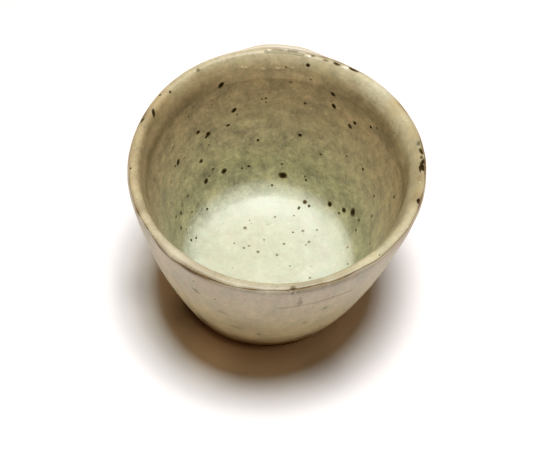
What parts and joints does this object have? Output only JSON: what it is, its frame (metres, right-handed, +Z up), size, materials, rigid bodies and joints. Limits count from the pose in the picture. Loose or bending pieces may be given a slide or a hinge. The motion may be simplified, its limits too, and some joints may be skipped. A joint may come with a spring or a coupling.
{
  "type": "soba choko cup",
  "caption": "Small hand-thrown stoneware dipping cup: flared wall, rounded lip, turned foot ring, poured inner glaze and dipped outer glaze that stops above the bare foot.",
  "frame": {"origin": "on the table under the middle of the cup's mouth, at the foot ring's lowest face", "axes": "+Z up out of the mouth; +Y away from the picture's viewer; +X to the viewer's right"},
  "size_m": [0.0801, 0.0811, 0.062],
  "materials": {
    "bare_stoneware": "bare fired iron-bearing clay, matt brown",
    "poured_glaze": "pale green-grey ash glaze with iron specks, satin gloss",
    "dipped_glaze": "warm grey-beige ash glaze with brown edges, satin gloss"
  },
  "bodies": {
    "root": {"clay_body": "bare_stoneware", "inner_glaze": "poured_glaze", "outer_glaze": "dipped_glaze"}
  },
  "joints": []
}
